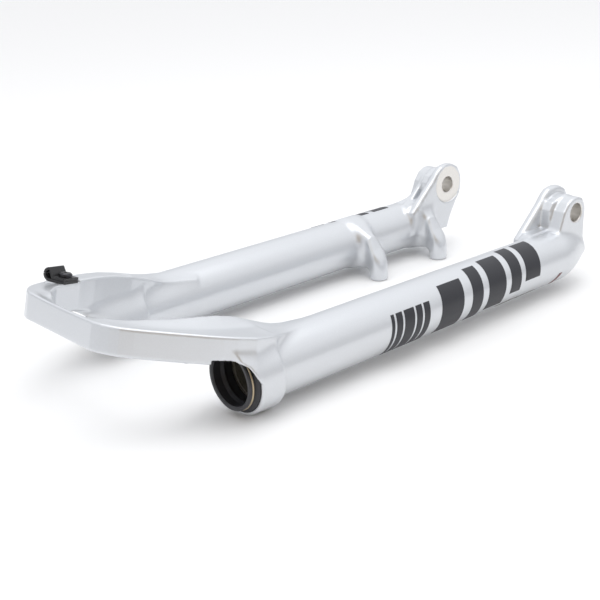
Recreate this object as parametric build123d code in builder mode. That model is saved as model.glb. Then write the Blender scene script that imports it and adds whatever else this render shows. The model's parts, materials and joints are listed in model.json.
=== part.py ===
"""Lower-leg assembly of a bicycle suspension fork, in millimetres.

The origin is the centre of the axle, midway between the dropouts. +X runs along the legs towards the crown,
+Y towards the rider's right leg and +Z towards the front of the bicycle. The assembly lies on its rear side.
"""

import math
import os

from build123d import *

os.makedirs("parts", exist_ok=True)

# Interfaces
HUB_WIDTH = 110.0
AXLE_BORE_RADIUS = 7.6
AXLE_THREAD_RADIUS = 7.0
HUB_CAP_RADIUS = 16.0
HUB_CAP_RECESS = 1.4
RUNNING_RADIUS = 17.54
BRAKE_POST_SPACING = 74.2
BRAKE_THREAD_RADIUS = 2.6
BRAKE_THREAD_DEPTH = 15.0
FOOT_BOLT_RADIUS = 4.25

# Legs
LEG_SPACING = 149.0
LEG_SETBACK = 32.7
LEG_FOOT_RADIUS = 20.0
LEG_TOP_RADIUS = 21.6
FOOT_CURVE = ((-13.5, 7.5), (-3.0, 12.4), (5.0, 15.8), (15.0, 19.0))
FOOT_CURVE_END = 26.0
FOOT_DIRECTIONS = ((1, 0.8), (1, 0))
COLLAR_START = 326.7
COLLAR_END = 347.0
COLLAR_RADIUS = 25.6
COLLAR_STEP_RADIUS = 23.4
COLLAR_TAPER = 3.0
COLLAR_CHAMFER = 1.0
REST_PLANE = -LEG_SETBACK - COLLAR_RADIUS

# Bore of a leg, from the foot to the rim
SHAFT_CAVITY_START = 2.0
SHAFT_CAVITY_RADIUS = 10.0
BORE_FLOOR = 24.0
LOWER_BORE_RADIUS = 17.9
BUSHING_STEP = 120.0
BUSHING_SEAT_RADIUS = 18.9
FOAM_SEAT_START = 327.5
FOAM_SEAT_RADIUS = 20.8
SEAL_SEAT_START = 335.0
SEAL_SEAT_RADIUS = 23.2

# Bushings, foam rings and wiper seals
UPPER_BUSHING = (292.0, 326.0)
LOWER_BUSHING = (BUSHING_STEP, 151.0)
BUSHING_CHAMFER = 0.5
FOAM_INNER_RADIUS = 17.6
FOAM_GAP = 0.2
CASE_WALL = 1.0
CASE_TOP = 346.2
CASE_LIP_RADIUS = 19.6
GARTER_X = 350.4
GARTER_RADIUS = 20.15
GARTER_WIRE = 0.8
GARTER_GROOVE = 0.85
SEAL_FLANGE = 0.8
SEAL_NECK_RADIUS = 21.6
SEAL_BODY_RADIUS = 19.0
SEAL_LIPS = (
    (348.6, 20.3),
    (352.6, 20.6),
    (353.4, 20.2),
    (353.4, 18.4),
    (352.4, RUNNING_RADIUS),
    (351.2, 18.2),
    (346.0, 18.6),
    (343.4, RUNNING_RADIUS),
    (341.0, 18.4),
)

# Dropouts
PLATE_OUTER = 61.5
PLATE_RADIUS = 18.5
LUG_INNER = 69.0
LUG_OUTER = 81.6
LUG_RADIUS = 12.6
RIB_WIDTH = 5.0
HUB_ENTRY_ANGLE = 150
PLATE_OUTLINE = ((-13, 13), (8, 16.7), (14, 12), (46, -17), (46, -36), (0, -40), (-4, -30), (-17, -8))
WEB_CROWN_SIDE = ((-9, 9), (7, 11), (15, 9), (19, 3), (20, -12), (24, -20))
WEB_FOOT_SIDE = ((24, -34), (-2, -34), (-8, -26), (-12, -4))
LEDGE_OUTLINE = ((18, -11.5), (43, -12.5), (47, -17), (47, -25), (18, -25))
LUG_OUTLINE = ((-8, 9.6), (9, 8.8), (15, 3), (24, -19), (24, -34), (-12, -34), (-12, -4))
RIB_OUTLINE = ((8, 9), (15, 5), (40, -18), (40, -30), (20, -30))

# Brake posts on the left leg
POST_X = 28.8
POST_Y = -40.0
POST_RADIUS = 7.5
POST_TOP = -18.0
POST_WEB_WIDTH = 11.0
POST_WEB_FLOOR = -50.0
POST_SLOPE = ((-60, -17.5), (-47.2, -22.5), (-41.5, -32), (-31, -46), (-31, -15), (-60, -15))

# Arch
ARCH_ANGLE = 14.0
ARCH_REF_X = 347.0
ARCH_REF_Z = -1.0
ARCH_THICKNESS = 18.4
ARCH_EDGE_RADIUS = 1.5
EDGE_TOLERANCE = 0.01
BRIDGE_FRONT = 424.8
BRIDGE_INNER = 415.5
BRIDGE_HALF_WIDTH = 38.0
BRIDGE_CORNER = ((419.0, 50.5), (409.0, 59.7))
LIMB_SHOULDER = ((356.0, 87.5), (342.0, 92.5), (328.0, 91.0))
LIMB_ROOT = ((305.0, 80.0), (278.0, 68.0), (278.0, 59.0), (306.0, 60.5))
LIMB_INNER = ((321.0, 58.3), (335.0, 56.2), (358.0, 55.6))
INNER_CURVE = ((378.8, 52.7), (392.0, 47.6), (407.0, 38.5), (414.5, 24.0))
INNER_START_DIRECTION = (1, -0.1)
BRIDGE_POCKET = ((402.0, 47.0), (413.0, 40.0), (417.0, 46.0), (409.0, 54.0), (400.0, 58.0))
SEAL_CLEARANCE_RADIUS = 23.4
SEAL_CLEARANCE_END = 372.0
SHROUD_INNER_SIDE = ((345, -31), (374, -19), (383, -11), (383, 4), (345, -2))
SHROUD_OUTER_SIDE = ((345, -33), (349, -26), (352, -18.5), (356, -15), (356, 0), (345, -2))
RIDGE_FLAT = 2.0
RIDGE_WIDTH = 10.0
RIDGE_DEPTH = 1.0
RIDGE_SECTIONS = (
    (284.0, 60.0, 0.2),
    (306.0, 60.5, 0.3),
    (321.0, 58.3, 2.1),
    (335.0, 56.2, 4.8),
    (347.0, 56.0, 5.6),
    (358.0, 55.6, 5.3),
    (379.0, 52.6, 3.5),
    (402.0, 42.2, 1.3),
    (411.0, 34.5, 0.2),
)
POCKET_DEPTH = 10.0
HOSE_PAD_HEIGHT = 1.6
HOSE_PAD_LENGTH = 18.0
HOSE_PAD_MARGIN = 2.0
HOSE_PAD_CORNER = 4.0
HOSE_PAD_OFFSET = -3.5

# Hose clip, in its own frame with the screw axis at its origin
CLIP_X = 389.5
CLIP_Y = -54.5
CLIP_TURN = 20.0
STRAP_WIDTH = 15.0
STRAP_THICKNESS = 1.8
STRAP_GAP = 0.3
LOOP_OFFSET = -8.0
HOSE_RADIUS = 2.9
FLAP_INNER_END = 5.2
CLIP_SCREW_RADIUS = 1.95
CLIP_THREAD_RADIUS = 2.1
CLIP_HEAD_RADIUS = 4.6
CLIP_HEAD_HEIGHT = 2.6
CLIP_SCREW_DEPTH = 8.5
CLIP_HEAD_CHAMFER = 0.9
CLIP_SOCKET_WIDTH = 2.5
CLIP_SOCKET_DEPTH = 1.6
FLAP_SLOT_LENGTH = 8.0
FLAP_SLOT_WIDTH = 4.8
FLAP_BEND_LOWER = -5.8
FLAP_BEND_UPPER = -4.6

# Decals: name, the angle each is seen square on, and its bars as x range and angle range
DECAL_THICKNESS = 0.15
BAR_LEAN = 3.0
BADGE_STRIPES = ((190, 196), (198, 204), (206, 216), (218, 224), (226, 229))
BADGE_TURN = (-56, 34)
DECALS = (
    ("badge_decal", -12, [(*stripe, *BADGE_TURN) for stripe in BADGE_STRIPES]),
    (
        "main_decal",
        20,
        ((60, 78, -4, 95), (84, 96, -20, 95), (103, 123, -40, 82), (130, 142, -55, 74), (152, 176, -55, 56)),
    ),
    ("label_decal", -40, ((64, 80, -55, -45), (84, 104, -55, -45))),
    ("foot_mark", -36, ((35, 39, -52, -20),)),
)

SIDES = {"right": 1, "left": -1}
FOOT_END = FOOT_CURVE[0][0]


def leg_radius(x):
    """Outer radius of the tapered leg tube at x."""
    return LEG_FOOT_RADIUS + (LEG_TOP_RADIUS - LEG_FOOT_RADIUS) * x / COLLAR_END


def leg_plane(side):
    """Sketch plane through a leg's axis: local x along the leg, local y towards the front."""
    return Plane(origin=(0, side * LEG_SPACING / 2, -LEG_SETBACK), x_dir=(1, 0, 0), z_dir=(0, -1, 0))


def leg_axis(side):
    """Centre line of a leg."""
    return Axis((0, side * LEG_SPACING / 2, -LEG_SETBACK), (1, 0, 0))


def ring(side, points):
    """Solid of revolution round a leg's axis from a closed (x, radius) outline."""
    with BuildPart() as part:
        with BuildSketch(leg_plane(side)):
            with BuildLine():
                Polyline(*points, close=True)
            make_face()
        revolve(axis=leg_axis(side))
    return part.part


def tube_points(x_range, inner, outer, chamfer_size=0.0):
    """Closed (x, radius) outline of a plain ring with chamfered bore edges."""
    start, end = x_range
    if chamfer_size == 0.0:
        return [(start, inner), (end, inner), (end, outer), (start, outer)]
    return [
        (start + chamfer_size, inner),
        (end - chamfer_size, inner),
        (end, inner + chamfer_size),
        (end, outer),
        (start, outer),
        (start, inner + chamfer_size),
    ]


def leg_envelope(side):
    """Outside of one leg tube with its tapering foot and its seal collar, without its bore."""
    curve_end = (FOOT_CURVE_END, leg_radius(FOOT_CURVE_END))
    with BuildPart() as part:
        with BuildSketch(leg_plane(side)):
            with BuildLine():
                Line((FOOT_END, 0), FOOT_CURVE[0])
                Spline(*FOOT_CURVE, curve_end, tangents=FOOT_DIRECTIONS)
                Polyline(
                    curve_end,
                    (COLLAR_START, leg_radius(COLLAR_START)),
                    (COLLAR_START, COLLAR_STEP_RADIUS),
                    (COLLAR_START + COLLAR_TAPER, COLLAR_RADIUS),
                    (COLLAR_END - COLLAR_CHAMFER, COLLAR_RADIUS),
                    (COLLAR_END, COLLAR_RADIUS - COLLAR_CHAMFER),
                    (COLLAR_END, 0),
                    (FOOT_END, 0),
                )
            make_face()
        revolve(axis=leg_axis(side))
    return part.part


def across(side, distance):
    """Sketch plane square to the axle: local x points towards the crown, local y to the front."""
    return Plane.XZ.offset(-side * distance)


def arch_place(x, y):
    """Place on the leaning face of the arch, in the face's own frame, for x and y of the fork."""
    return (x - ARCH_REF_X) / math.cos(math.radians(ARCH_ANGLE)), y


LEAN = math.radians(ARCH_ANGLE)
ARCH_NORMAL = (-math.sin(LEAN), 0, math.cos(LEAN))
ARCH_ALONG = (math.cos(LEAN), 0, math.sin(LEAN))
ARCH_FACE = Plane(origin=(ARCH_REF_X, 0, ARCH_REF_Z), x_dir=ARCH_ALONG, z_dir=ARCH_NORMAL)
CLIP_ALONG = Vector(*ARCH_ALONG).rotate(Axis((0, 0, 0), ARCH_NORMAL), CLIP_TURN)
CLIP_BASE = Plane(
    origin=ARCH_FACE.from_local_coords((*arch_place(CLIP_X, CLIP_Y), HOSE_PAD_HEIGHT)),
    x_dir=CLIP_ALONG,
    z_dir=ARCH_NORMAL,
)
envelopes = {name: leg_envelope(side) for name, side in SIDES.items()}


def on_arch_face(point):
    """Whether a point lies in the leaning front face of the arch."""
    return abs(ARCH_FACE.to_local_coords(point).Z) < EDGE_TOLERANCE


def height_on_clip(edge):
    """Height of an edge's centre above the clip's base."""
    return CLIP_BASE.to_local_coords(edge.center()).Z


# ---- Legs: tapered tube and collar with a stepped bore ----

for name, side in SIDES.items():
    with BuildPart() as leg:
        add(envelopes[name])
        with BuildSketch(leg_plane(side)):
            with BuildLine():
                Polyline(
                    (FOOT_END, 0),
                    (FOOT_END, FOOT_BOLT_RADIUS),
                    (SHAFT_CAVITY_START, FOOT_BOLT_RADIUS),
                    (SHAFT_CAVITY_START, SHAFT_CAVITY_RADIUS),
                    (BORE_FLOOR, SHAFT_CAVITY_RADIUS),
                    (BORE_FLOOR, LOWER_BORE_RADIUS),
                    (BUSHING_STEP, LOWER_BORE_RADIUS),
                    (BUSHING_STEP, BUSHING_SEAT_RADIUS),
                    (FOAM_SEAT_START, BUSHING_SEAT_RADIUS),
                    (FOAM_SEAT_START, FOAM_SEAT_RADIUS),
                    (SEAL_SEAT_START, FOAM_SEAT_RADIUS),
                    (SEAL_SEAT_START, SEAL_SEAT_RADIUS),
                    (COLLAR_END, SEAL_SEAT_RADIUS),
                    (COLLAR_END, 0),
                    close=True,
                )
            make_face()
        revolve(axis=leg_axis(side), mode=Mode.SUBTRACT)
    leg.part.label = f"{name}_leg"
    export_step(leg.part, f"parts/{name}_leg.step")


# ---- Dropouts: inner plate with the hub's seat, web, axle lug and ledge, and a rib on the left ----

HUB_FACE = HUB_WIDTH / 2 - HUB_CAP_RECESS
for name, side in SIDES.items():
    with BuildPart() as dropout:
        with BuildSketch(across(side, HUB_FACE)):
            Circle(PLATE_RADIUS)
            Polygon(*PLATE_OUTLINE, align=None)
        extrude(amount=-side * (PLATE_OUTER - HUB_FACE))
        with BuildSketch(across(side, PLATE_OUTER)):
            Circle(LUG_RADIUS)
            Polygon(*WEB_CROWN_SIDE, *WEB_FOOT_SIDE, align=None)
        extrude(amount=-side * (LUG_INNER - PLATE_OUTER))
        with BuildSketch(across(side, LUG_INNER)):
            Circle(LUG_RADIUS)
            Polygon(*LUG_OUTLINE, align=None)
        extrude(amount=-side * (LUG_OUTER - LUG_INNER))
        with BuildSketch(across(side, PLATE_OUTER)):
            Polygon(*LEDGE_OUTLINE, align=None)
        extrude(amount=-side * (LUG_INNER - PLATE_OUTER))
        if name == "left":
            with BuildSketch(across(side, LUG_INNER)):
                Polygon(*RIB_OUTLINE, align=None)
            extrude(amount=-side * RIB_WIDTH)
        # Recess for the hub's end cap, open towards the foot
        with BuildSketch(across(side, HUB_FACE)):
            Circle(HUB_CAP_RADIUS)
            with Locations(Location((0, 0), HUB_ENTRY_ANGLE)):
                Rectangle(2 * HUB_CAP_RADIUS, 2 * HUB_CAP_RADIUS, align=(Align.MIN, Align.CENTER))
        extrude(amount=-side * HUB_CAP_RECESS, mode=Mode.SUBTRACT)
        # Axle bore, plain on the right and threaded on the left
        with BuildSketch(across(side, HUB_FACE)):
            Circle(AXLE_BORE_RADIUS if side > 0 else AXLE_THREAD_RADIUS)
        extrude(amount=-side * (LUG_OUTER - HUB_FACE), mode=Mode.SUBTRACT)
        add(envelopes[name], mode=Mode.SUBTRACT)
    dropout.part.label = f"{name}_dropout"
    export_step(dropout.part, f"parts/{name}_dropout.step")
    left_dropout = dropout.part


# ---- Brake posts on the left leg, each with its web ----

with BuildPart() as brake_posts:
    for post_x in (POST_X, POST_X + BRAKE_POST_SPACING):
        with BuildSketch(Plane.XY.offset(REST_PLANE)):
            with Locations((post_x, POST_Y)):
                Circle(POST_RADIUS)
        extrude(amount=POST_TOP - REST_PLANE)
        with BuildSketch(Plane.XY.offset(POST_WEB_FLOOR)):
            with Locations((post_x, (POST_Y - LEG_SPACING / 2) / 2)):
                Rectangle(POST_WEB_WIDTH, LEG_SPACING / 2 + POST_Y)
        extrude(amount=POST_TOP - POST_WEB_FLOOR)
        with BuildSketch(Plane.YZ.offset(post_x - POST_RADIUS)):
            Polygon(*POST_SLOPE, align=None)
        extrude(amount=2 * POST_RADIUS, mode=Mode.SUBTRACT)
        with BuildSketch(Plane.XY.offset(REST_PLANE)):
            with Locations((post_x, POST_Y)):
                Circle(BRAKE_THREAD_RADIUS)
        extrude(amount=BRAKE_THREAD_DEPTH, mode=Mode.SUBTRACT)
    add(envelopes["left"], mode=Mode.SUBTRACT)
    add(left_dropout, mode=Mode.SUBTRACT)
brake_posts.part.label = "brake_posts"
export_step(brake_posts.part, "parts/brake_posts.step")


# ---- Arch: a leaning bridge over the wheel, joined to both collars ----

# Low ridge along the inner edge of each limb
with BuildPart() as ridge:
    for x, inner_y, height in RIDGE_SECTIONS:
        place = ARCH_FACE.from_local_coords((*arch_place(x, inner_y), 0))
        with BuildSketch(Plane(origin=place, x_dir=(0, 1, 0), z_dir=ARCH_ALONG)):
            Polygon(
                (0, -RIDGE_DEPTH), (0, height), (RIDGE_FLAT, height), (RIDGE_WIDTH, -RIDGE_DEPTH), align=None
            )
    loft(ruled=True)
    mirror(about=Plane.XZ)

# Skin that carries each collar on round the front of its wiper seal
with BuildPart() as shroud:
    for side in SIDES.values():
        for direction, outline in ((-side, SHROUD_INNER_SIDE), (side, SHROUD_OUTER_SIDE)):
            with BuildSketch(across(side, LEG_SPACING / 2)):
                Polygon(*outline, align=None)
            extrude(amount=-direction * COLLAR_RADIUS)
    with BuildSketch(Plane.YZ.offset(COLLAR_END)):
        for side in SIDES.values():
            with Locations((side * LEG_SPACING / 2, -LEG_SETBACK)):
                Circle(COLLAR_RADIUS)
                Circle(SEAL_CLEARANCE_RADIUS, mode=Mode.SUBTRACT)
    extrude(amount=SEAL_CLEARANCE_END, mode=Mode.INTERSECT)

with BuildPart() as arch:
    with BuildSketch(ARCH_FACE):
        with BuildLine():
            Line(arch_place(BRIDGE_FRONT, 0), arch_place(BRIDGE_FRONT, BRIDGE_HALF_WIDTH))
            ThreePointArc(
                arch_place(BRIDGE_FRONT, BRIDGE_HALF_WIDTH), *[arch_place(x, y) for x, y in BRIDGE_CORNER]
            )
            Line(arch_place(*BRIDGE_CORNER[-1]), arch_place(*LIMB_SHOULDER[0]))
            ThreePointArc(*[arch_place(x, y) for x, y in LIMB_SHOULDER])
            Polyline(*[arch_place(x, y) for x, y in (LIMB_SHOULDER[-1], *LIMB_ROOT, *LIMB_INNER)])
            Spline(
                *[arch_place(x, y) for x, y in (LIMB_INNER[-1], *INNER_CURVE, (BRIDGE_INNER, 0))],
                tangents=(INNER_START_DIRECTION, (0, -1)),
            )
            mirror(about=Plane.XZ)
        make_face()
    extrude(amount=-ARCH_THICKNESS)
    front_edges = arch.edges().filter_by(lambda edge: on_arch_face(edge.center()))
    bridge_edges = front_edges.filter_by(lambda edge: edge.center().X > (BRIDGE_INNER + BRIDGE_FRONT) / 2)
    fillet(bridge_edges.filter_by(GeomType.LINE), ARCH_EDGE_RADIUS)
    add(ridge.part)
    # Raised pad and flat land under the hose clip
    with BuildSketch(CLIP_BASE.offset(-HOSE_PAD_HEIGHT)):
        with Locations((0, HOSE_PAD_OFFSET)):
            RectangleRounded(STRAP_WIDTH + HOSE_PAD_MARGIN, HOSE_PAD_LENGTH, HOSE_PAD_CORNER)
    extrude(amount=HOSE_PAD_HEIGHT)
    with BuildSketch(CLIP_BASE):
        with Locations((0, HOSE_PAD_OFFSET)):
            Rectangle(STRAP_WIDTH + HOSE_PAD_MARGIN, HOSE_PAD_LENGTH + HOSE_PAD_MARGIN)
    extrude(amount=HOSE_PAD_LENGTH, mode=Mode.SUBTRACT)
    with BuildSketch(CLIP_BASE):
        Circle(CLIP_THREAD_RADIUS)
    extrude(amount=-CLIP_SCREW_DEPTH - 1, mode=Mode.SUBTRACT)
    # Pocket cast into the rear side of each limb
    with BuildSketch(ARCH_FACE.offset(-ARCH_THICKNESS)):
        for side in SIDES.values():
            Polygon(*[arch_place(x, side * y) for x, y in BRIDGE_POCKET], align=None)
    extrude(amount=POCKET_DEPTH, mode=Mode.SUBTRACT)
    # Room for the collars, the wiper seals and the stanchions
    for name, side in SIDES.items():
        add(envelopes[name], mode=Mode.SUBTRACT)
        with BuildSketch(Plane.YZ.offset(COLLAR_END)):
            with Locations((side * LEG_SPACING / 2, -LEG_SETBACK)):
                Circle(SEAL_CLEARANCE_RADIUS)
        extrude(amount=SEAL_CLEARANCE_END - COLLAR_END, mode=Mode.SUBTRACT)
    add(shroud.part)
arch.part.label = "arch"
export_step(arch.part, "parts/arch.step")


# ---- Inside each leg: bushings, foam ring, wiper seal, its case and its spring ----

for name, side in SIDES.items():
    for label, x_range in (("lower_bushing", LOWER_BUSHING), ("upper_bushing", UPPER_BUSHING)):
        with BuildPart() as bushing:
            add(ring(side, tube_points(x_range, RUNNING_RADIUS, BUSHING_SEAT_RADIUS, BUSHING_CHAMFER)))
        bushing.part.label = f"{name}_{label}"
        export_step(bushing.part, f"parts/{name}_{label}.step")

    with BuildPart() as foam_ring:
        foam_range = (FOAM_SEAT_START + FOAM_GAP, SEAL_SEAT_START - FOAM_GAP)
        add(ring(side, tube_points(foam_range, FOAM_INNER_RADIUS, FOAM_SEAT_RADIUS)))
    foam_ring.part.label = f"{name}_foam_ring"
    export_step(foam_ring.part, f"parts/{name}_foam_ring.step")

    case_inner = SEAL_SEAT_RADIUS - CASE_WALL
    case_floor = SEAL_SEAT_START + CASE_WALL
    with BuildPart() as wiper_case:
        add(
            ring(
                side,
                [
                    (SEAL_SEAT_START, CASE_LIP_RADIUS),
                    (case_floor, CASE_LIP_RADIUS),
                    (case_floor, case_inner),
                    (CASE_TOP, case_inner),
                    (CASE_TOP, SEAL_SEAT_RADIUS),
                    (SEAL_SEAT_START, SEAL_SEAT_RADIUS),
                ],
            )
        )
    wiper_case.part.label = f"{name}_wiper_case"
    export_step(wiper_case.part, f"parts/{name}_wiper_case.step")

    with BuildPart() as wiper_seal:
        add(
            ring(
                side,
                [
                    (case_floor, SEAL_BODY_RADIUS),
                    (case_floor, case_inner),
                    (CASE_TOP, case_inner),
                    (CASE_TOP, SEAL_SEAT_RADIUS),
                    (CASE_TOP + SEAL_FLANGE, SEAL_SEAT_RADIUS),
                    (CASE_TOP + 2 * SEAL_FLANGE, SEAL_NECK_RADIUS),
                    *SEAL_LIPS,
                ],
            )
        )
        with BuildSketch(leg_plane(side)):
            with Locations((GARTER_X, GARTER_RADIUS)):
                Circle(GARTER_GROOVE)
        revolve(axis=leg_axis(side), mode=Mode.SUBTRACT)
    wiper_seal.part.label = f"{name}_wiper_seal"
    export_step(wiper_seal.part, f"parts/{name}_wiper_seal.step")

    with BuildPart() as garter_spring:
        with BuildSketch(leg_plane(side)):
            with Locations((GARTER_X, GARTER_RADIUS)):
                Circle(GARTER_WIRE)
        revolve(axis=leg_axis(side))
    garter_spring.part.label = f"{name}_garter_spring"
    export_step(garter_spring.part, f"parts/{name}_garter_spring.step")


# ---- Hose clip on the left limb of the arch ----

loop_centre = (LOOP_OFFSET, STRAP_THICKNESS + HOSE_RADIUS)
loop_outer = HOSE_RADIUS + STRAP_THICKNESS
clip_section = Plane(
    origin=CLIP_BASE.from_local_coords((-STRAP_WIDTH / 2, 0, 0)), x_dir=CLIP_BASE.y_dir, z_dir=CLIP_ALONG
)

with BuildPart() as hose_clip:
    with BuildSketch(clip_section):
        with Locations(loop_centre):
            Circle(loop_outer)
            Circle(HOSE_RADIUS, mode=Mode.SUBTRACT)
        with Locations((LOOP_OFFSET - loop_outer, loop_centre[1])):
            Rectangle(3 * loop_outer, 2 * loop_outer, align=(Align.MIN, Align.MIN), mode=Mode.SUBTRACT)
        with Locations((LOOP_OFFSET, 0)):
            Rectangle(2 * loop_outer, 2 * loop_outer, align=(Align.MIN, Align.MIN), mode=Mode.SUBTRACT)
            Rectangle(FLAP_INNER_END - LOOP_OFFSET, STRAP_THICKNESS, align=(Align.MIN, Align.MIN))
    extrude(amount=STRAP_WIDTH)
    with BuildSketch(CLIP_BASE):
        Circle(CLIP_THREAD_RADIUS + STRAP_GAP)
    extrude(amount=2 * loop_outer, mode=Mode.SUBTRACT)
hose_clip.part.label = "hose_clip"
export_step(hose_clip.part, "parts/hose_clip.step")

flap_base = STRAP_THICKNESS + STRAP_GAP
flap_top = flap_base + STRAP_THICKNESS
with BuildPart() as hose_clip_flap:
    with BuildSketch(clip_section):
        with Locations(loop_centre):
            Circle(loop_outer)
            Circle(HOSE_RADIUS, mode=Mode.SUBTRACT)
        with Locations((LOOP_OFFSET - loop_outer, loop_centre[1] + STRAP_GAP)):
            Rectangle(3 * loop_outer, 3 * loop_outer, align=(Align.MIN, Align.MAX), mode=Mode.SUBTRACT)
        with Locations((LOOP_OFFSET, 0)):
            Rectangle(2 * loop_outer, 3 * loop_outer, align=(Align.MIN, Align.MIN), mode=Mode.SUBTRACT)
        Polygon(
            (LOOP_OFFSET, loop_centre[1] + loop_outer),
            (LOOP_OFFSET, loop_centre[1] + HOSE_RADIUS),
            (FLAP_BEND_LOWER, flap_base),
            (FLAP_INNER_END, flap_base),
            (FLAP_INNER_END, flap_top),
            (FLAP_BEND_UPPER, flap_top),
            align=None,
        )
    extrude(amount=STRAP_WIDTH)
    with BuildSketch(CLIP_BASE):
        SlotOverall(FLAP_SLOT_LENGTH, FLAP_SLOT_WIDTH, rotation=90)
    extrude(amount=3 * loop_outer, mode=Mode.SUBTRACT)
hose_clip_flap.part.label = "hose_clip_flap"
export_step(hose_clip_flap.part, "parts/hose_clip_flap.step")

with BuildPart() as hose_clip_screw:
    with BuildSketch(CLIP_BASE.offset(-CLIP_SCREW_DEPTH)):
        Circle(CLIP_SCREW_RADIUS)
    extrude(amount=CLIP_SCREW_DEPTH + flap_top + STRAP_GAP)
    with BuildSketch(CLIP_BASE.offset(flap_top + STRAP_GAP)):
        Circle(CLIP_HEAD_RADIUS)
    extrude(amount=CLIP_HEAD_HEIGHT)
    head_rims = hose_clip_screw.edges().filter_by(GeomType.CIRCLE).sort_by(height_on_clip)
    chamfer(head_rims[-1], CLIP_HEAD_CHAMFER)
    with BuildSketch(CLIP_BASE.offset(flap_top + STRAP_GAP + CLIP_HEAD_HEIGHT)):
        RegularPolygon(CLIP_SOCKET_WIDTH / 2, 6, major_radius=False)
    extrude(amount=-CLIP_SOCKET_DEPTH, mode=Mode.SUBTRACT)
hose_clip_screw.part.label = "hose_clip_screw"
export_step(hose_clip_screw.part, "parts/hose_clip_screw.step")


# ---- Decals: thin films wrapped round the outer side of each leg ----

def on_leg(side, facing, x, angle):
    """Point of the leg's surface as seen square on from the facing angle: 0 is straight out, 90 the front."""
    return x, -side * leg_radius(x) * math.sin(math.radians(angle - facing))


def decal_film(side, start, end):
    """Thin tapered sleeve that lies on the leg from start to end."""
    return ring(
        side,
        [
            (start, leg_radius(start)),
            (end, leg_radius(end)),
            (end, leg_radius(end) + DECAL_THICKNESS),
            (start, leg_radius(start) + DECAL_THICKNESS),
        ],
    )


def decal(label, name, side, facing, bars):
    """Film in the shape of leaning bars, each given by its x range and its angle range."""
    film = decal_film(side, min(bar[0] for bar in bars) - BAR_LEAN, max(bar[1] for bar in bars) + BAR_LEAN)
    angle = math.radians(facing)
    view = Plane(
        origin=(0, side * LEG_SPACING / 2, -LEG_SETBACK),
        x_dir=(1, 0, 0),
        z_dir=(0, side * math.cos(angle), math.sin(angle)),
    )
    with BuildPart() as part:
        with BuildSketch(view):
            for start, end, low, high in bars:
                corners = (
                    (start + BAR_LEAN, low),
                    (end + BAR_LEAN, low),
                    (end - BAR_LEAN, high),
                    (start - BAR_LEAN, high),
                )
                Polygon(*[on_leg(side, facing, x, turn) for x, turn in corners], align=None)
        extrude(amount=2 * LEG_TOP_RADIUS)
        add(film, mode=Mode.INTERSECT)
    part.part.label = f"{name}_{label}"
    export_step(part.part, f"parts/{name}_{label}.step")


for name, side in SIDES.items():
    for label, facing, bars in DECALS:
        decal(label, name, side, facing, bars)
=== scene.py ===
"""Lower-leg assembly of a bicycle suspension fork: its looks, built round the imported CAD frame, in metres."""

import json
import math

import bpy
import numpy as np
from mathutils import Matrix, Vector


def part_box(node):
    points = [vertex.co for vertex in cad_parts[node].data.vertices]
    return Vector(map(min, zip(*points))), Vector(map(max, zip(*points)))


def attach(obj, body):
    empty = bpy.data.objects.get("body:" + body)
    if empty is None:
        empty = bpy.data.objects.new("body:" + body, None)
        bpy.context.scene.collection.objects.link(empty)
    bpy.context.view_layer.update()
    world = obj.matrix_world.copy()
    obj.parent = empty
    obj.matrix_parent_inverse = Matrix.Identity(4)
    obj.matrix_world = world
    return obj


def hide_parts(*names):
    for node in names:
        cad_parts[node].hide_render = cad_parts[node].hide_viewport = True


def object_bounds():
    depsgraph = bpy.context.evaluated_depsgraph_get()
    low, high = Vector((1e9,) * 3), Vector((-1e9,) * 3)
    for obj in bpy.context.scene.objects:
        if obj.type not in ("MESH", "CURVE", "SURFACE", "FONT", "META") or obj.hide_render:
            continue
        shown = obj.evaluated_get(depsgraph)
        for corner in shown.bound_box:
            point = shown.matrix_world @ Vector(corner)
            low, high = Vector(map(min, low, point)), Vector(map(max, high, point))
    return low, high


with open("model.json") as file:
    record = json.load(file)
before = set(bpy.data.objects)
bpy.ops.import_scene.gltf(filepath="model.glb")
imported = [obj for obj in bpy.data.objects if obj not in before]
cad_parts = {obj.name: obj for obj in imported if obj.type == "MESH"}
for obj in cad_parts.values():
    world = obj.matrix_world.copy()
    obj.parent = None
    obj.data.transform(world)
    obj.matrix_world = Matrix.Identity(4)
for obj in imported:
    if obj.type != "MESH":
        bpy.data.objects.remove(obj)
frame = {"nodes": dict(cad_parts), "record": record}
CAD_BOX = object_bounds()
MM = 0.001
FAR = 50.0
MESH_STEP = 0.9
# How far the bare metal of each machined face reaches
HOLE_RIM, FACE_MARGIN, RECESS_MARGIN, POST_FACE_END = 0.7, 0.3, 0.5, 130.0

# ---- Places taken from the frame, in millimetres ----

mounts = {mount["name"]: mount for mount in frame["record"]["mounts"]}


def box_mm(node):
    """Lowest and highest corner of a CAD node, in millimetres."""
    low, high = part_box(node)
    return np.array(low) / MM, np.array(high) / MM


leg_low, leg_high = box_mm("right_leg")
stanchion = mounts["stanchion_bore_right"]
LEG_Y = stanchion["pos_m"][1] / MM
LEG_Z = stanchion["pos_m"][2] / MM
FOOT_END, COLLAR_END = leg_low[0], leg_high[0]
COLLAR_RADIUS = leg_high[1] - LEG_Y
FLOOR_Z = min(leg_low[2], box_mm("brake_posts")[0][2])

# ---- Legs ----

FOOT_RADIUS = 20.0
TOP_RADIUS = 21.6
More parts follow.
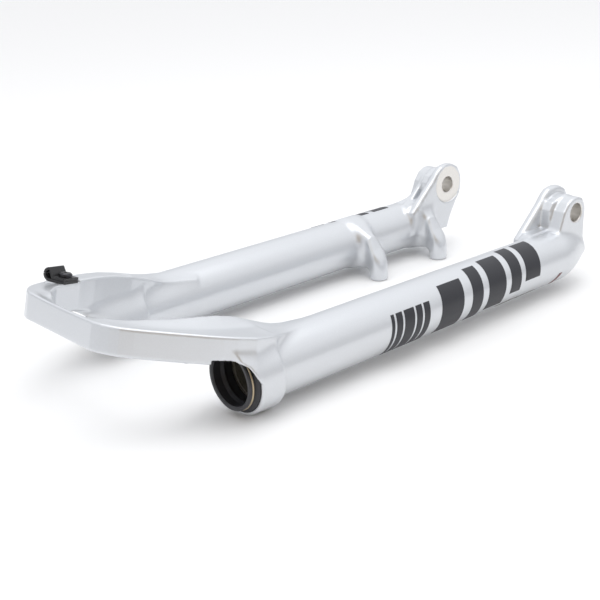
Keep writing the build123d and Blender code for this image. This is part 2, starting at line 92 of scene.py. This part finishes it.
# Cubic of the tube's radius towards the foot: where it begins, its radius there, and its three coefficients
FOOT_TAPER = (26.0, 20.12, 0.005, -0.0118939, -9.9545e-5)
FOOT_ROUND = 2.5
COLLAR_START = 326.7
COLLAR_SEAM = 2.0
COLLAR_ROUND = 2.6
SEAL_ROOM = 23.3
SEAL_ROOM_END = 372.0
FOOT_BOLT_RADIUS = mounts["foot_bolt_right"]["dims"]["r_mm"]
BORE_STEPS = ((2.0, 10.0), (24.0, 17.9), (120.0, 18.9), (327.5, 20.8), (335.0, SEAL_ROOM))

# ---- Dropouts, in the plane square to the axle ----

AXLE_RADII = {1: mounts["axle_bore_right"]["dims"]["r_mm"], -1: mounts["axle_thread_left"]["dims"]["r_mm"]}
HUB_FACE = box_mm("right_dropout")[0][1]
HUB_HALF = 55.0
PLATE_OUTER = 61.5
PLATE_RADIUS = 18.5
LUG_INNER = 69.0
LUG_OUTER = box_mm("right_dropout")[1][1]
LUG_RADIUS = 12.6
HUB_CAP_RADIUS = 16.0
HUB_ENTRY = math.radians(150)
DROPOUT_REACH = 60.0
DROPOUT_SEAM = 4.0
DISC_SEAM = 3.0
WEB_LAP = 1.0
PLATE_ROUND, WEB_ROUND, LUG_ROUND, LEDGE_ROUND, RIB_ROUND = 4.0, 1.5, 2.5, 1.5, 2.0
WEB_SEAM, LUG_SEAM, LEDGE_SEAM, RIB_SEAM = 2.0, 2.5, 1.5, 2.0
RIB_WIDTH = 5.0
HOLE_LAP = 5.0
BORE_ROUND = 0.8
RECESS_ROUND = 0.6
PLATE = ((-13, 13), (8, 16.7), (14, 12), (46, -17), (46, -36), (0, -40), (-4, -30), (-17, -8))
WEB = ((-9, 9), (7, 11), (15, 9), (19, 3), (20, -12), (24, -20), (24, -34), (-2, -34), (-8, -26), (-12, -4))
LEDGE = ((18, -11.5), (43, -12.5), (47, -17), (47, -25), (18, -25))
LUG = ((-8, 9.6), (9, 8.8), (15, 3), (24, -19), (24, -34), (-12, -34), (-12, -4))
RIB = ((8, 9), (15, 5), (40, -18), (40, -30), (20, -30))

# ---- Brake posts ----

brake = mounts["brake_mount"]
POST_SPACING = brake["dims"]["spacing_x_mm"]
POST_XS = [brake["pos_m"][0] / MM + sign * POST_SPACING / 2 for sign in (-1, 1)]
POST_Y = brake["pos_m"][1] / MM
POST_RADIUS = 7.5
POST_THREAD = brake["dims"]["hole_r_mm"]
POST_REACH = 140.0
POST_ROUND = 2.0
POST_DEPTH = 15.0
POST_WEB_HALF = 5.5
POST_WEB_FLOOR = -50.0
POST_WEB_SEAM = 4.0
POST_SEAM = 9.0
# Height of each post's sloping crest across the fork, how steeply it counts, and how far its edge is rounded
POST_SLOPE_Y = (-75.0, -60.0, -47.2, -41.5, -31.0)
POST_SLOPE_Z = (-14.0, -17.5, -22.5, -32.0, -46.0)
POST_SLOPE_SHARE = 0.75
POST_SLOPE_ROUND = 5.0

# ---- Arch, on its leaning front face ----

LEAN = math.radians(14.0)
ARCH_REF = (347.0, -1.0)
ARCH_THICKNESS = 18.4
OUTER_EDGE = (
    (424.8, 0), (424.8, 38), (422.9, 44), (419.6, 49.5), (415.8, 54.3), (409, 59.7), (401.6, 64.4),
    (386.4, 73.4), (370.7, 81.8), (362.4, 85.7), (353.8, 89.0), (342, 92.2), (328, 90.5), (305, 80),
)
INNER_EDGE = (
    (278, 66), (278, 59), (288.4, 59.9), (297.5, 60.4), (306.1, 60.5), (313.9, 59.8), (320.9, 58.3),
    (335.2, 56.1), (347.2, 56.0), (358.3, 55.6), (365.7, 55.0), (378.8, 52.7), (390.4, 48.3), (401.6, 43.4),
    (409.5, 36), (413.5, 27), (415.2, 16), (415.5, 0),
)
RIDGE_X = (
    278.0, 297.5, 306.0, 313.9, 320.9, 328.4, 335.2, 347.2, 358.3, 365.7, 378.8, 390.4, 401.6, 411.6, 419.5,
)
RIDGE_HEIGHT = (0.4, -0.6, -0.2, 0.8, 2.1, 3.6, 4.8, 5.6, 5.3, 4.7, 3.5, 2.6, 1.3, 0.0, -1.8)
RIDGE_REACH = 15.0
ARCH_START = 260.0
ARCH_SEAM = 5.0
ARCH_EDGE_ROUND = 1.6
ARCH_FACE_ROUND = 1.0
BRIDGE_DROP, DROP_HALF_WIDTH, DROP_FADE, DROP_REACH = 4.0, 33.0, 20.0, 8.0
SHROUD_ROUND = 1.0
POCKET = ((402, 47), (413, 40), (417, 46), (409, 54), (400, 58))
POCKET_FLOOR = -8.4
POCKET_ROUND = 1.5
SHROUD = {
    -1: ((345, -31), (374, -19), (383, -11), (383, 4), (345, -2)),
    1: ((345, -33), (349, -26), (352, -18.5), (356, -15), (356, 0), (345, -2)),
}

# ---- Seat of the hose clip, in the frame of its two joints ----

joints = {joint["name"]: joint for joint in frame["record"]["behaviour"]["joints"]}
CLIP_ALONG = np.array(joints["clip_flap_open"]["axis"])
CLIP_ACROSS = np.cross(joints["clip_screw_out"]["axis"], CLIP_ALONG)
CLIP_PLACE = sum(box_mm("hose_clip_screw")) / 2
PAD_HEIGHT = 1.6
PAD_HALF = (8.5, 9.0)
PAD_OFFSET = -3.5
PAD_CORNER = 4.0
LAND_MARGIN = 1.0
CLIP_HOLE_RADIUS = 2.1
CLIP_HOLE_FLOOR = -7.9
CLIP_START = 360.0
PAD_ROUND = 0.6


def smooth_min(a, b, k):
    """Smallest of two fields with a rounded seam of width k."""
    h = np.maximum(k - np.abs(a - b), 0.0) / k
    return np.minimum(a, b) - h * h * k * 0.25


def smooth_max(a, b, k):
    """Largest of two fields with a rounded seam of width k."""
    return -smooth_min(-a, -b, k)


def polygon_field(u, v, corners):
    """Signed distance to a closed polygon, negative inside."""
    nearest = np.full(u.shape, 1e9, u.dtype)
    inside = np.zeros(u.shape, bool)
    for (ax, ay), (bx, by) in zip(corners, corners[1:] + corners[:1]):
        ex, ey = bx - ax, by - ay
        wx, wy = u - ax, v - ay
        share = np.clip((wx * ex + wy * ey) / (ex * ex + ey * ey), 0, 1)
        nearest = np.minimum(nearest, (wx - ex * share) ** 2 + (wy - ey * share) ** 2)
        if ey:
            crosses = (ay > v) != (by > v)
            inside ^= crosses & (u < ex * (v - ay) / ey + ax)
    return np.where(inside, -1, 1) * np.sqrt(nearest)


def plate_field(x, y, z, corners, start, end, rounding, disc=0.0):
    """Polygon in x and z, with a round end about the axle, filled from start to end across the fork."""
    flat = polygon_field(x, z, list(corners))
    if disc:
        flat = smooth_min(flat, np.hypot(x, z) - disc, DISC_SEAM)
    across = np.abs(y - (start + end) / 2) - (end - start) / 2
    return smooth_max(flat, across, rounding)


def leg_field(x, rho):
    """Leg tube, which tapers to its foot."""
    begin, radius, slope, square, cube = FOOT_TAPER
    u = np.minimum(x - begin, 0)
    foot = radius + u * (slope + u * (square + u * cube))
    steep = slope + u * (2 * square + u * 3 * cube)
    tube = np.where(x < begin, foot, FOOT_RADIUS + (TOP_RADIUS - FOOT_RADIUS) * x / COLLAR_END)
    body = (rho - tube) / np.sqrt(1 + steep * steep)
    return smooth_max(body, np.maximum(FOOT_END - x, x - COLLAR_END), FOOT_ROUND)


def bore_field(x, rho):
    """Stepped bore of a leg, negative in the hollow."""
    hollow = rho - FOOT_BOLT_RADIUS
    for start, radius in BORE_STEPS:
        hollow = np.minimum(hollow, np.maximum(rho - radius, start - x))
    return np.maximum(hollow, x - SEAL_ROOM_END)


def arch_field(x, y, z):
    """Leaning hoop over the wheel, with its raised inner ridge."""
    dx, dz = x - ARCH_REF[0], z - ARCH_REF[1]
    along = dx * math.cos(LEAN) + dz * math.sin(LEAN)
    up = dz * math.cos(LEAN) - dx * math.sin(LEAN)
    stretch = 1 / math.cos(LEAN)
    half = [((px - ARCH_REF[0]) * stretch, py) for px, py in OUTER_EDGE + INNER_EDGE]
    outline = polygon_field(along, y, half)
    inner = [((px - ARCH_REF[0]) * stretch, py) for px, py in INNER_EDGE]
    inner_gap = polygon_field(along, y, inner + [(inner[0][0], 0.0)])
    fade = np.clip(1 - np.maximum(inner_gap, 0) / RIDGE_REACH, 0, 1)
    ridge = np.interp(x, RIDGE_X, RIDGE_HEIGHT) * fade * fade * (3 - 2 * fade)
    middle = np.clip((DROP_HALF_WIDTH - y) / DROP_FADE, 0, 1)
    near_edge = np.clip(1 - np.maximum(inner_gap, 0) / DROP_REACH, 0, 1)
    drop = BRIDGE_DROP * middle * middle * (3 - 2 * middle) * near_edge * near_edge
    front = up - ridge + drop
    slab = smooth_max(front, -ARCH_THICKNESS - up, ARCH_FACE_ROUND)
    slab = smooth_max(slab, outline, ARCH_EDGE_ROUND)
    corners = [((px - ARCH_REF[0]) * stretch, py) for px, py in POCKET]
    hollow = np.maximum(polygon_field(along, y, corners), up - POCKET_FLOOR)
    return smooth_max(slab, -hollow, POCKET_ROUND)


def rectangle_field(u, v, half_u, half_v, corner=0.0):
    """Signed distance to a rectangle about the origin, with rounded corners."""
    over_u, over_v = np.abs(u) - half_u + corner, np.abs(v) - half_v + corner
    outside = np.hypot(np.maximum(over_u, 0), np.maximum(over_v, 0))
    return outside + np.minimum(np.maximum(over_u, over_v), 0) - corner


def seat_clip(metal, points):
    """Metal with the clip's raised pad, the flat land round it and its screw hole."""
    reach = points - CLIP_PLACE
    along, across = reach @ CLIP_ALONG, reach @ CLIP_ACROSS
    up = (points[:, 2] - ARCH_REF[1]) * math.cos(LEAN) - (points[:, 0] - ARCH_REF[0]) * math.sin(LEAN)
    pad = rectangle_field(along, across - PAD_OFFSET, *PAD_HALF, PAD_CORNER)
    pad = smooth_max(pad, np.maximum(up - PAD_HEIGHT, -PAD_HEIGHT - up), PAD_ROUND)
    land = rectangle_field(along, across - PAD_OFFSET, PAD_HALF[0], PAD_HALF[1] + LAND_MARGIN)
    hole = np.maximum(np.hypot(along, across) - CLIP_HOLE_RADIUS, CLIP_HOLE_FLOOR - up)
    metal = np.minimum(metal, pad)
    metal = np.maximum(metal, -np.maximum(land, PAD_HEIGHT - up))
    return np.maximum(metal, -hole)


def shroud_field(x, y, z, rho):
    """Skin that carries a collar on round the front of its wiper seal."""
    skin = np.abs(rho - (COLLAR_RADIUS + SEAL_ROOM) / 2) - (COLLAR_RADIUS - SEAL_ROOM) / 2
    inner = polygon_field(x, z, list(SHROUD[-1]))
    outer = polygon_field(x, z, list(SHROUD[1]))
    return smooth_max(skin, np.where(y < LEG_Y, inner, outer), SHROUD_ROUND)


def casting_field(points):
    """Signed distance to the whole casting, in millimetres, negative in the metal."""
    x, y, z = points[:, 0], points[:, 1], points[:, 2]
    side = np.where(y > 0, 1, -1)
    ay = np.abs(y)
    rho = np.hypot(ay - LEG_Y, z - LEG_Z)
    metal = leg_field(x, rho)
    collar = smooth_max(rho - COLLAR_RADIUS, np.maximum(COLLAR_START - x, x - COLLAR_END), COLLAR_ROUND)
    metal = smooth_min(metal, collar, COLLAR_SEAM)
    near_arch = x > ARCH_START
    if near_arch.any():
        at = (x[near_arch], ay[near_arch], z[near_arch])
        collars = np.minimum(metal[near_arch], shroud_field(*at, rho[near_arch]))
        metal[near_arch] = smooth_min(collars, arch_field(*at), ARCH_SEAM)
    near_axle = x < DROPOUT_REACH
    if near_axle.any():
        at = (x[near_axle], ay[near_axle], z[near_axle])
        dropout = plate_field(*at, PLATE, HUB_FACE, PLATE_OUTER, PLATE_ROUND, PLATE_RADIUS)
        web_span = (PLATE_OUTER - WEB_LAP, LUG_INNER + WEB_LAP)
        web = plate_field(*at, WEB, *web_span, WEB_ROUND, LUG_RADIUS)
        lug = plate_field(*at, LUG, LUG_INNER, LUG_OUTER, LUG_ROUND, LUG_RADIUS)
        ledge = plate_field(*at, LEDGE, PLATE_OUTER - WEB_LAP, LUG_INNER, LEDGE_ROUND)
        rib = plate_field(*at, RIB, LUG_INNER, LUG_INNER + RIB_WIDTH, RIB_ROUND)
        rib = np.where(side[near_axle] < 0, rib, FAR)
        dropout = smooth_min(dropout, web, WEB_SEAM)
        dropout = smooth_min(dropout, lug, LUG_SEAM)
        dropout = smooth_min(dropout, ledge, LEDGE_SEAM)
        dropout = smooth_min(dropout, rib, RIB_SEAM)
        metal[near_axle] = smooth_min(metal[near_axle], dropout, DROPOUT_SEAM)
    left = (y < 0) & (x < POST_REACH)
    if left.any():
        px, py, pz = x[left], y[left], z[left]
        for post_x in POST_XS:
            round_post = np.hypot(px - post_x, py - POST_Y) - POST_RADIUS
            slope = pz - np.interp(py, POST_SLOPE_Y, POST_SLOPE_Z)
            post = smooth_max(round_post, FLOOR_Z - pz, POST_ROUND)
            web = smooth_max(np.abs(px - post_x) - POST_WEB_HALF, POST_WEB_FLOOR - pz, POST_ROUND)
            web = np.maximum(web, np.maximum(py - POST_Y, -LEG_Y - py))
            post = smooth_min(post, web, POST_WEB_SEAM)
            post = smooth_max(post, slope * POST_SLOPE_SHARE, POST_SLOPE_ROUND)
            metal[left] = smooth_min(metal[left], post, POST_SEAM)
    near_clip = (y < 0) & (x > CLIP_START)
    if near_clip.any():
        metal[near_clip] = seat_clip(metal[near_clip], points[near_clip])
    # Machined hollows: leg bores, axle holes, hub recesses and the threads in the posts
    metal = smooth_max(metal, -bore_field(x, rho), BORE_ROUND)
    axle = np.hypot(x, z)
    radius = np.where(side > 0, AXLE_RADII[1], AXLE_RADII[-1])
    metal = smooth_max(metal, -np.maximum(axle - radius, HUB_FACE - HOLE_LAP - ay), BORE_ROUND)
    reach = x * math.cos(HUB_ENTRY) + z * math.sin(HUB_ENTRY)
    beside = np.abs(-x * math.sin(HUB_ENTRY) + z * math.cos(HUB_ENTRY))
    slot = np.maximum(beside - HUB_CAP_RADIUS, -reach)
    recess = np.maximum(np.minimum(axle - HUB_CAP_RADIUS, slot), ay - HUB_HALF)
    metal = smooth_max(metal, -recess, RECESS_ROUND)
    for post_x in POST_XS:
        hole = np.maximum(np.hypot(x - post_x, y - POST_Y) - POST_THREAD, z - FLOOR_Z - POST_DEPTH)
        metal = smooth_max(metal, -hole, RECESS_ROUND)
    return np.maximum(metal, ay - LEG_Y - COLLAR_RADIUS)


def surface_net(field, low, high, step):
    """Quad mesh of a field's zero surface: one vertex in the middle of each cell that it crosses."""
    low = np.asarray(low, float)
    counts = np.ceil((np.asarray(high) - low) / step).astype(int) + 1
    ys, zs = (low[axis] + step * np.arange(counts[axis]) for axis in (1, 2))
    grid_y, grid_z = np.meshgrid(ys, zs, indexing="ij")
    values = np.empty(counts, np.float32)
    for i in range(counts[0]):
        x = np.full(grid_y.size, low[0] + step * i)
        values[i] = field(np.stack([x, grid_y.ravel(), grid_z.ravel()], 1)).reshape(grid_y.shape)
    inside = values < 0
    cells = np.zeros(counts - 1, bool)
    for di in (0, 1):
        for dj in (0, 1):
            for dk in (0, 1):
                corner = inside[di:di + counts[0] - 1, dj:dj + counts[1] - 1, dk:dk + counts[2] - 1]
                cells |= corner != inside[:-1, :-1, :-1]
    index = np.full(cells.shape, -1, np.int64)
    index[cells] = np.arange(cells.sum())
    points = low + step * (np.argwhere(cells) + 0.5)
    quads = []
    for axis in range(3):
        first = np.moveaxis(inside, axis, 0)
        ids = np.moveaxis(index, axis, 0)
        change = first[:-1, 1:-1, 1:-1] != first[1:, 1:-1, 1:-1]
        i, j, k = np.nonzero(change)
        quad = np.stack([ids[i, j, k], ids[i, j + 1, k], ids[i, j + 1, k + 1], ids[i, j, k + 1]], 1)
        flip = ~first[i, j + 1, k + 1] if axis != 1 else first[i, j + 1, k + 1]
        quad[flip] = quad[flip][:, ::-1]
        quads.append(quad)
    return points, np.concatenate(quads)


def field_gradient(field, points, reach=0.05):
    """Gradient of a field by central differences."""
    gradient = np.empty_like(points)
    for axis in range(3):
        shift = np.zeros(3)
        shift[axis] = reach
        gradient[:, axis] = (field(points + shift) - field(points - shift)) / (2 * reach)
    return gradient


def settle(field, points, quads, step, rounds=3):
    """Evens the vertices out along the surface, and puts them on it."""
    start = points.copy()
    for turn in range(rounds):
        if turn:
            total, count = np.zeros_like(points), np.zeros(len(points))
            for a in range(4):
                for b in (quads[:, (a + 1) % 4], quads[:, (a + 3) % 4]):
                    np.add.at(total, quads[:, a], points[b])
                    np.add.at(count, quads[:, a], 1)
            points = points + 0.5 * (total / np.maximum(count, 1)[:, None] - points)
        for _ in range(2):
            gradient = field_gradient(field, points)
            length = np.maximum((gradient ** 2).sum(1), 0.05)
            move = -(field(points) / length)[:, None] * gradient
            size = np.linalg.norm(move, axis=1, keepdims=True)
            points = points + move * np.minimum(1, 0.7 * step / np.maximum(size, 1e-9))
    return np.where(np.linalg.norm(points - start, axis=1, keepdims=True) < 3 * step, points, start)


def new_piece(name, points_mm, faces, body="lowers"):
    """Mesh object from points in millimetres, riding on a body."""
    mesh = bpy.data.meshes.new(name)
    mesh.from_pydata((np.asarray(points_mm) * MM).tolist(), [], np.asarray(faces).tolist())
    mesh.validate()
    mesh.polygons.foreach_set("use_smooth", [True] * len(mesh.polygons))
    piece = bpy.data.objects.new(name, mesh)
    bpy.context.scene.collection.objects.link(piece)
    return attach(piece, body)


def build_casting():
    """One seamless casting for the legs, dropouts, brake posts and arch."""
    low, high = (np.array(corner) / MM for corner in CAD_BOX)
    points, quads = surface_net(casting_field, low - 2 * MESH_STEP, high + 2 * MESH_STEP, MESH_STEP)
    points = np.clip(settle(casting_field, points, quads, MESH_STEP), low, high)
    piece = new_piece("casting", points, quads)
    middle = points[quads].mean(1)
    away, height = np.hypot(middle[:, 0], middle[:, 2]), np.abs(middle[:, 1])
    in_hole = (away < max(AXLE_RADII.values()) + HOLE_RIM) & (height > HUB_FACE - WEB_LAP)
    in_recess = (away < HUB_CAP_RADIUS + FACE_MARGIN) & (np.abs(height - HUB_HALF) < RECESS_MARGIN)
    under_post = (middle[:, 1] < 0) & (middle[:, 2] < FLOOR_Z + FACE_MARGIN) & (middle[:, 0] < POST_FACE_END)
    piece.data.polygons.foreach_set("material_index", (in_hole | in_recess | under_post).astype(np.int32))
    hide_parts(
        "left_leg", "right_leg", "left_dropout", "right_dropout", "brake_posts", "arch"
    )
    return piece


# ---- Materials ----


def new_material(name, color, roughness, metallic=0.0, coat=0.0):
    """Principled material whose even values sit on the shader."""
    material = bpy.data.materials.new(name)
    material.use_nodes = True
    shader = material.node_tree.nodes["Principled BSDF"]
    shader.inputs["Base Color"].default_value = (*color, 1)
    shader.inputs["Roughness"].default_value = roughness
    shader.inputs["Metallic"].default_value = metallic
    shader.inputs["Coat Weight"].default_value = coat
    shader.inputs["Coat Roughness"].default_value = 0.12
    return material, shader


def add_grain(material, shader, color, spread, scale, bump, roughness, rough_spread):
    """Fine colour, roughness and bump variation in object space."""
    nodes, links = material.node_tree.nodes, material.node_tree.links
    place = nodes.new("ShaderNodeTexCoord")
    noise = nodes.new("ShaderNodeTexNoise")
    noise.inputs["Scale"].default_value = scale
    noise.inputs["Detail"].default_value = 6
    links.new(place.outputs["Object"], noise.inputs["Vector"])
    tint = nodes.new("ShaderNodeValToRGB")
    tint.color_ramp.elements[0].color = (*[c * (1 - spread) for c in color], 1)
    tint.color_ramp.elements[1].color = (*[min(1, c * (1 + spread)) for c in color], 1)
    links.new(noise.outputs["Fac"], tint.inputs["Fac"])
    links.new(tint.outputs["Color"], shader.inputs["Base Color"])
    rough = nodes.new("ShaderNodeMapRange")
    rough.inputs["To Min"].default_value = roughness - rough_spread
    rough.inputs["To Max"].default_value = roughness + rough_spread
    links.new(noise.outputs["Fac"], rough.inputs["Value"])
    links.new(rough.outputs["Result"], shader.inputs["Roughness"])
    relief = nodes.new("ShaderNodeBump")
    relief.inputs["Strength"].default_value = bump
    relief.inputs["Distance"].default_value = 0.0002
    links.new(noise.outputs["Fac"], relief.inputs["Height"])
    links.new(relief.outputs["Normal"], shader.inputs["Normal"])


def grained(
    name, color, roughness, metallic=0.0, coat=0.0, spread=0.04, scale=900.0, bump=0.05, rough_spread=0.04
):
    """Material with fine grain."""
    material, shader = new_material(name, color, roughness, metallic, coat)
    add_grain(material, shader, color, spread, scale, bump, roughness, rough_spread)
    return material


MATERIALS = {
    "casting": grained("silver_paint", (0.68, 0.70, 0.73), 0.32, metallic=0.6, coat=0.25),
    "machined": grained("machined_metal", (0.78, 0.76, 0.73), 0.34, metallic=0.9, spread=0.08),
    "bushing": grained("bushing_lining", (0.24, 0.21, 0.13), 0.45, metallic=0.6),
    "foam": grained("oiled_foam", (0.12, 0.11, 0.09), 0.8, spread=0.3, bump=0.6),
    "seal_case": grained("pressed_steel", (0.42, 0.42, 0.43), 0.35, metallic=0.9),
    "seal_rubber": grained("seal_rubber", (0.03, 0.03, 0.035), 0.45, bump=0.1),
    "garter": grained("garter_wire", (0.46, 0.38, 0.26), 0.35, metallic=0.9),
    "decal_dark": grained("decal_dark", (0.018, 0.019, 0.026), 0.42, coat=0.08),
    "decal_grey": grained("decal_grey", (0.25, 0.25, 0.24), 0.4, coat=0.1),
    "decal_red": grained("decal_red", (0.16, 0.05, 0.05), 0.4, coat=0.1),
    "clip": grained("clip_plastic", (0.02, 0.02, 0.022), 0.4, bump=0.2),
    "screw": grained("black_oxide", (0.05, 0.05, 0.055), 0.35, metallic=0.9),
}

casting = build_casting()
casting.data.materials.append(MATERIALS["casting"])
casting.data.materials.append(MATERIALS["machined"])
slots = {row["node"]: row["material_slot"] for row in frame["record"]["subparts"]}
for node, thing in frame["nodes"].items():
    thing.data.materials.clear()
    thing.data.materials.append(MATERIALS[slots[node]])

# ---- Camera, floor and light ----

CAMERA_PLACE = Vector((745.811, 596.127, 263.503)) * MM
CAMERA_TURN = (0.853, 2.148, -1.511)
CAMERA_LENS = 68.24
SENSOR_WIDTH = 36.0
NEAREST = 0.01
FLOOR_SIZE = 80.0
SKY_LOW = (0.45, 0.46, 0.48)
SKY_HIGH = (0.97, 0.98, 1.0)
SKY_FULL = 0.55
SKY_STRENGTH = 1.1
CARD_DIRECTION = Vector((0.40, 0.90, 0.10)).normalized()
CARD_EDGE = (0.72, 0.92)
CARD_COLOR = (0.42, 0.30, 0.16)
# Places of the colour sockets on a Mix node
MIX_FIRST, MIX_SECOND, MIX_RESULT = 6, 7, 2

camera_data = bpy.data.cameras.new("camera")
camera_data.lens = CAMERA_LENS
camera_data.sensor_width = SENSOR_WIDTH
camera_data.clip_start = NEAREST
camera = bpy.data.objects.new("camera", camera_data)
bpy.context.scene.collection.objects.link(camera)
turn = Vector(CAMERA_TURN)
rows = Matrix.Rotation(turn.length, 3, turn.normalized())
camera.matrix_world = Matrix.LocRotScale(
    CAMERA_PLACE, Matrix((rows[0], -rows[1], -rows[2])).transposed(), Vector((1, 1, 1))
)
bpy.context.scene.camera = camera

floor_mesh = bpy.data.meshes.new("floor")
corners = [(x * FLOOR_SIZE, y * FLOOR_SIZE, FLOOR_Z * MM) for x, y in ((-1, -1), (1, -1), (1, 1), (-1, 1))]
floor_mesh.from_pydata(corners, [], [(0, 1, 2, 3)])
floor = bpy.data.objects.new("floor", floor_mesh)
bpy.context.scene.collection.objects.link(floor)
floor_material, floor_shader = new_material("floor_white", (0.93, 0.93, 0.93), 0.6)
floor_mesh.materials.append(floor_material)

world = bpy.data.worlds.new("studio")
world.use_nodes = True
sky = world.node_tree
direction = sky.nodes.new("ShaderNodeTexCoord")
split = sky.nodes.new("ShaderNodeSeparateXYZ")
fade_up = sky.nodes.new("ShaderNodeValToRGB")
fade_up.color_ramp.elements[0].color = (*SKY_LOW, 1)
fade_up.color_ramp.elements[1].color = (*SKY_HIGH, 1)
fade_up.color_ramp.elements[1].position = SKY_FULL
sky.links.new(direction.outputs["Generated"], split.inputs["Vector"])
sky.links.new(split.outputs["Z"], fade_up.inputs["Fac"])
toward = sky.nodes.new("ShaderNodeVectorMath")
toward.operation = "DOT_PRODUCT"
toward.inputs[1].default_value = CARD_DIRECTION
card = sky.nodes.new("ShaderNodeValToRGB")
card.color_ramp.elements[0].position, card.color_ramp.elements[1].position = CARD_EDGE
card.color_ramp.elements[0].color = (1, 1, 1, 1)
card.color_ramp.elements[1].color = (*CARD_COLOR, 1)
shade = sky.nodes.new("ShaderNodeMix")
shade.data_type, shade.blend_type = "RGBA", "MULTIPLY"
shade.inputs["Factor"].default_value = 1.0
sky.links.new(direction.outputs["Generated"], toward.inputs[0])
sky.links.new(toward.outputs["Value"], card.inputs["Fac"])
sky.links.new(fade_up.outputs["Color"], shade.inputs[MIX_FIRST])
sky.links.new(card.outputs["Color"], shade.inputs[MIX_SECOND])
sky.links.new(shade.outputs[MIX_RESULT], sky.nodes["Background"].inputs["Color"])
sky.nodes["Background"].inputs["Strength"].default_value = SKY_STRENGTH
bpy.context.scene.world = world
bpy.context.scene.view_settings.view_transform = "Standard"


def softbox(name, place, aim, size, power, color=(1, 1, 1)):
    """Large soft lamp aimed at a point, in metres."""
    data = bpy.data.lights.new(name, "AREA")
    data.shape = "RECTANGLE"
    data.size, data.size_y = size
    data.energy = power
    data.color = color
    lamp = bpy.data.objects.new(name, data)
    bpy.context.scene.collection.objects.link(lamp)
    lamp.location = place
    lamp.rotation_euler = (Vector(aim) - Vector(place)).to_track_quat("-Z", "Y").to_euler()
    return lamp


softbox("key_above", (0.2, 0.1, 1.4), (0.2, 0, 0), (1.4, 1.0), 7)
